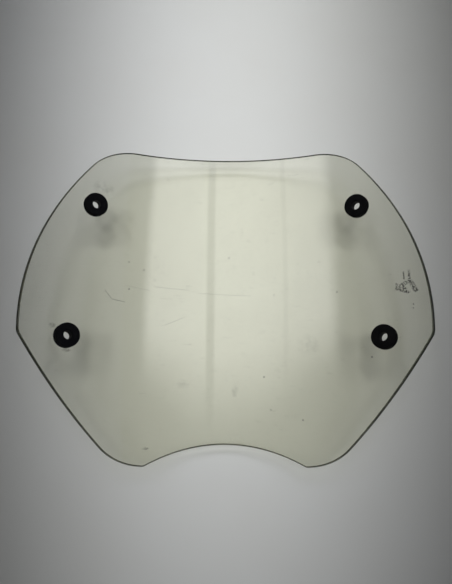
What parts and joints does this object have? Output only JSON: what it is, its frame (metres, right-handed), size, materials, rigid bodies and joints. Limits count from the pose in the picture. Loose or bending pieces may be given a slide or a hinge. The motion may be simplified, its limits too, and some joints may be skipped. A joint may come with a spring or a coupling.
{
  "type": "motorcycle windshield screen",
  "caption": "Clear double-curved windshield screen with a hollow-cut bottom edge and rubber grommets for its fixing screws.",
  "frame": {"origin": "centre of the overall box in X and Y, at the lowest point of the convex outer face in Z", "axes": "+X across the screen, +Y from the hollow-cut bottom edge to the top edge, +Z from the convex outer face to the hollow side; it lies on its outer face"},
  "size_m": [0.3774, 0.3286, 0.0914],
  "materials": {
    "clear_panel": "gloss",
    "grommet_rubber": "satin"
  },
  "bodies": {
    "root": {"windshield_panel": "clear_panel", "grommet_upper_left": "grommet_rubber", "grommet_upper_right": "grommet_rubber", "grommet_lower_left": "grommet_rubber", "grommet_lower_right": "grommet_rubber"}
  },
  "joints": []
}
